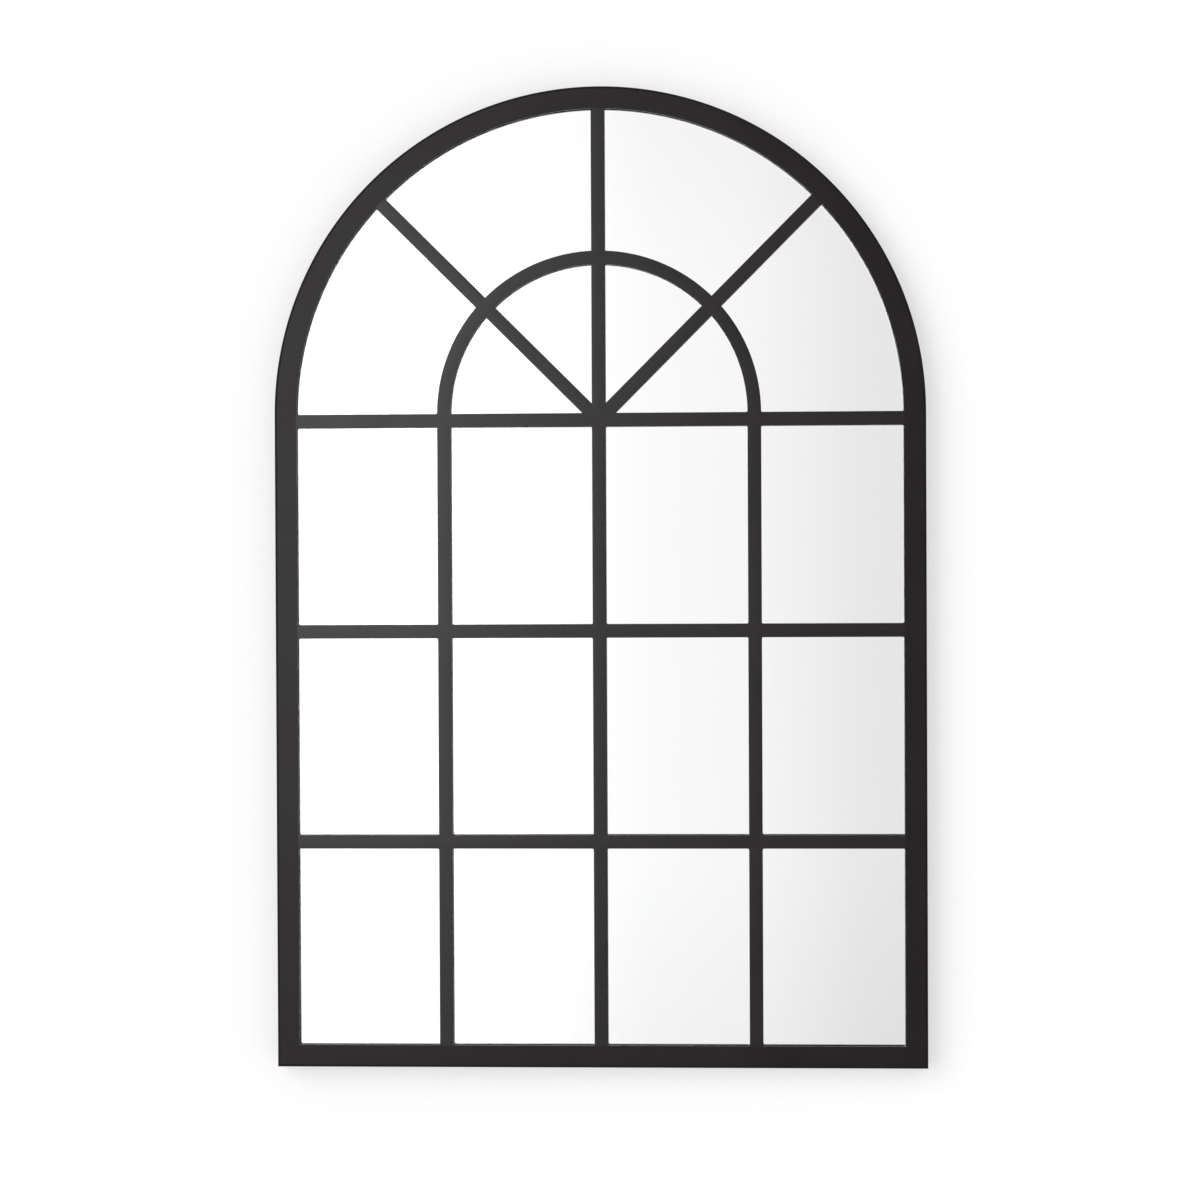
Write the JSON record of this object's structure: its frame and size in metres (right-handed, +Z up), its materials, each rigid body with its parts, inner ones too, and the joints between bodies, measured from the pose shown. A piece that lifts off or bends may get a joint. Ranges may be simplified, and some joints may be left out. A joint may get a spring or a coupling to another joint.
{
  "type": "arched window mirror",
  "caption": "Arched wall mirror made like a window: a black welded steel frame with glazing bars and a fan over one mirror sheet, with a clipped back board and keyhole hangers.",
  "frame": {"origin": "middle of the bottom edge, half way through the depth", "axes": "+Z up, +Y from the front to the wall, +X to the right seen from the front"},
  "size_m": [0.598, 0.025, 0.8999],
  "materials": {
    "frame_paint": "matt black powder coat on steel",
    "mirror_glass": "silvered 4 mm float glass",
    "tape": "black glazing tape",
    "foam": "thin white packing foam",
    "board": "bare brown fibreboard",
    "clip_steel": "zinc plated",
    "screw_steel": "zinc plated",
    "hanger_steel": "zinc plated",
    "bumper_rubber": "matt black rubber"
  },
  "bodies": {
    "frame": {"arch_rail": "frame_paint", "back_board": "board", "bottom_rail": "frame_paint", "centre_spoke_inner": "frame_paint", "centre_spoke_outer": "frame_paint", "centre_upright_lower": "frame_paint", "centre_upright_middle": "frame_paint", "centre_upright_upper": "frame_paint", "clip_washers": "screw_steel", "fixing_screws": "screw_steel", "foam_sheet": "foam", "glazing_tape": "tape", "inner_arch": "frame_paint", "left_hanger_plate": "hanger_steel", "left_spoke_inner": "frame_paint", "left_spoke_outer": "frame_paint", "left_stile": "frame_paint", "left_upright_lower": "frame_paint", "left_upright_middle": "frame_paint", "left_upright_upper": "frame_paint", "lower_transom": "frame_paint", "middle_transom": "frame_paint", "mirror_glass": "mirror_glass", "right_hanger_plate": "hanger_steel", "right_spoke_inner": "frame_paint", "right_spoke_outer": "frame_paint", "right_stile": "frame_paint", "right_upright_lower": "frame_paint", "right_upright_middle": "frame_paint", "right_upright_upper": "frame_paint", "short_weld_bosses": "frame_paint", "tall_weld_bosses": "frame_paint", "upper_transom": "frame_paint", "wall_bumpers": "bumper_rubber"},
    "clip_arch_left": {"clip_arch_left": "clip_steel"},
    "clip_arch_right": {"clip_arch_right": "clip_steel"},
    "clip_bottom_left": {"clip_bottom_left": "clip_steel"},
    "clip_bottom_right": {"clip_bottom_right": "clip_steel"},
    "clip_left_lower": {"clip_left_lower": "clip_steel"},
    "clip_left_upper": {"clip_left_upper": "clip_steel"},
    "clip_right_lower": {"clip_right_lower": "clip_steel"},
    "clip_right_upper": {"clip_right_upper": "clip_steel"}
  },
  "joints": [
    {"name": "clip_arch_left_turn", "type": "hinge", "parent": "frame", "child": "clip_arch_left", "pos_m": [-0.13568, 0.00025, 0.85617], "axis": [0, 1, 0], "range_deg": [-90, 90]},
    {"name": "clip_arch_right_turn", "type": "hinge", "parent": "frame", "child": "clip_arch_right", "pos_m": [0.13568, 0.00025, 0.85617], "axis": [0, 1, 0], "range_deg": [-90, 90]},
    {"name": "clip_bottom_left_turn", "type": "hinge", "parent": "frame", "child": "clip_bottom_left", "pos_m": [-0.143, 0.00025, 0.01], "axis": [0, 1, 0], "range_deg": [-90, 90]},
    {"name": "clip_bottom_right_turn", "type": "hinge", "parent": "frame", "child": "clip_bottom_right", "pos_m": [0.143, 0.00025, 0.01], "axis": [0, 1, 0], "range_deg": [-90, 90]},
    {"name": "clip_left_lower_turn", "type": "hinge", "parent": "frame", "child": "clip_left_lower", "pos_m": [-0.289, 0.00025, 0.15], "axis": [0, 1, 0], "range_deg": [-90, 90]},
    {"name": "clip_left_upper_turn", "type": "hinge", "parent": "frame", "child": "clip_left_upper", "pos_m": [-0.289, 0.00025, 0.38], "axis": [0, 1, 0], "range_deg": [-90, 90]},
    {"name": "clip_right_lower_turn", "type": "hinge", "parent": "frame", "child": "clip_right_lower", "pos_m": [0.289, 0.00025, 0.15], "axis": [0, 1, 0], "range_deg": [-90, 90]},
    {"name": "clip_right_upper_turn", "type": "hinge", "parent": "frame", "child": "clip_right_upper", "pos_m": [0.289, 0.00025, 0.38], "axis": [0, 1, 0], "range_deg": [-90, 90]}
  ]
}
